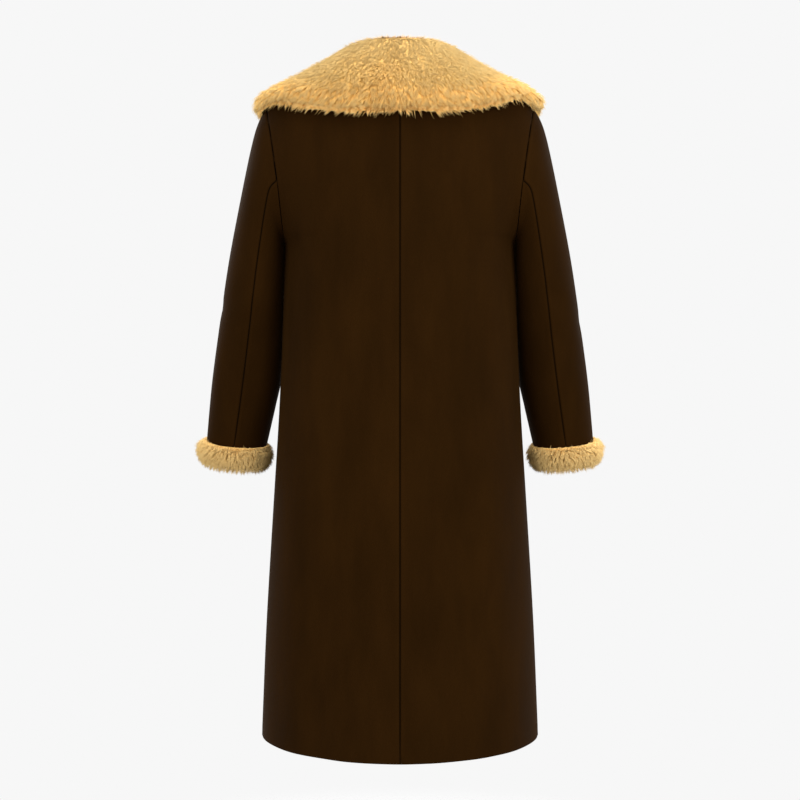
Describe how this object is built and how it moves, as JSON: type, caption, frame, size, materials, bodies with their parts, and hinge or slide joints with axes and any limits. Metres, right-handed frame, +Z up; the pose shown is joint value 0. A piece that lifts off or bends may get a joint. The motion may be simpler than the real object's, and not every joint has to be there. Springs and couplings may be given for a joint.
{
  "type": "long coat",
  "caption": "Long straight wool coat, filled out as when worn, with a wide turned-over fur collar, two-piece sleeves and fur cuffs",
  "frame": {"origin": "middle of the neck opening, level with the neck seam, where the wearer's shoulders hold the coat up", "axes": "+Z up, -Y the wearer's front, +X the wearer's left"},
  "size_m": [0.7086, 0.3282, 1.18],
  "materials": {
    "wool": "dense dark brown wool coating with a short brushed nap",
    "fur": "honey-coloured dense curly pile fur"
  },
  "bodies": {
    "root": {"back_left": "wool", "back_right": "wool", "front_left": "wool", "front_right": "wool", "sleeve_left_upper": "wool", "sleeve_left_under": "wool", "sleeve_right_upper": "wool", "sleeve_right_under": "wool", "collar": "fur", "cuff_left": "fur", "cuff_right": "fur"}
  },
  "joints": []
}
